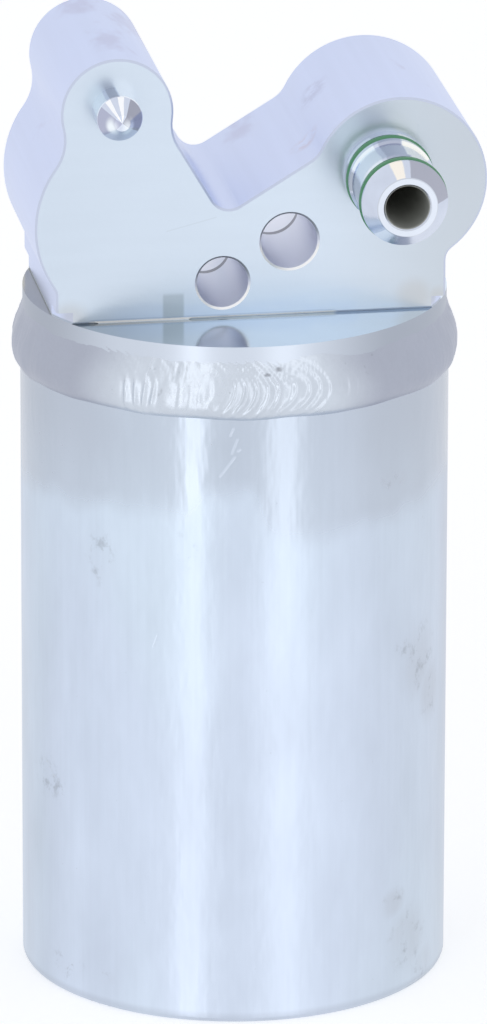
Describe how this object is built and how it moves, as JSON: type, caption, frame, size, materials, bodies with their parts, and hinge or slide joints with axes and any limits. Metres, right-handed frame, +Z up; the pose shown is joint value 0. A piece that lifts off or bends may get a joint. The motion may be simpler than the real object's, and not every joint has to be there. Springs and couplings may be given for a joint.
{
  "type": "filter drier",
  "caption": "Welded aluminium receiver drier: round can, two-lobed port block with sealed spigots, bolt holes and a locating pin.",
  "frame": {"origin": "centre of the can's flat bottom, which it stands on", "axes": "+Z up along the can to the block; -Y out of the face with the inlet spigot and the locating pin; +X towards the inlet's lobe"},
  "size_m": [0.0749, 0.076, 0.1601],
  "materials": {
    "can_aluminium": "satin drawn",
    "block_aluminium": "satin extruded and milled",
    "weld_aluminium": "rippled weld",
    "turned_metal": "bright turned",
    "green_rubber": "semi-gloss",
    "tube_aluminium": "drawn",
    "strainer_plastic": "moulded",
    "plate_steel": "pressed",
    "filter_felt": "felt",
    "desiccant_beads": "matt beads",
    "spring_steel": "wire"
  },
  "bodies": {
    "root": {"can": "can_aluminium", "head": "block_aluminium", "weld_bead": "weld_aluminium", "inlet_spigot": "turned_metal", "inlet_o_ring_inner": "green_rubber", "inlet_o_ring_outer": "green_rubber", "outlet_spigot": "turned_metal", "outlet_o_ring_inner": "green_rubber", "outlet_o_ring_outer": "green_rubber", "locating_pin": "turned_metal", "pickup_tube": "tube_aluminium", "tube_o_ring": "green_rubber", "strainer": "strainer_plastic", "lower_plate": "plate_steel", "lower_filter_pad": "filter_felt", "desiccant": "desiccant_beads", "upper_filter_pad": "filter_felt", "upper_plate": "plate_steel", "spring": "spring_steel"}
  },
  "joints": []
}
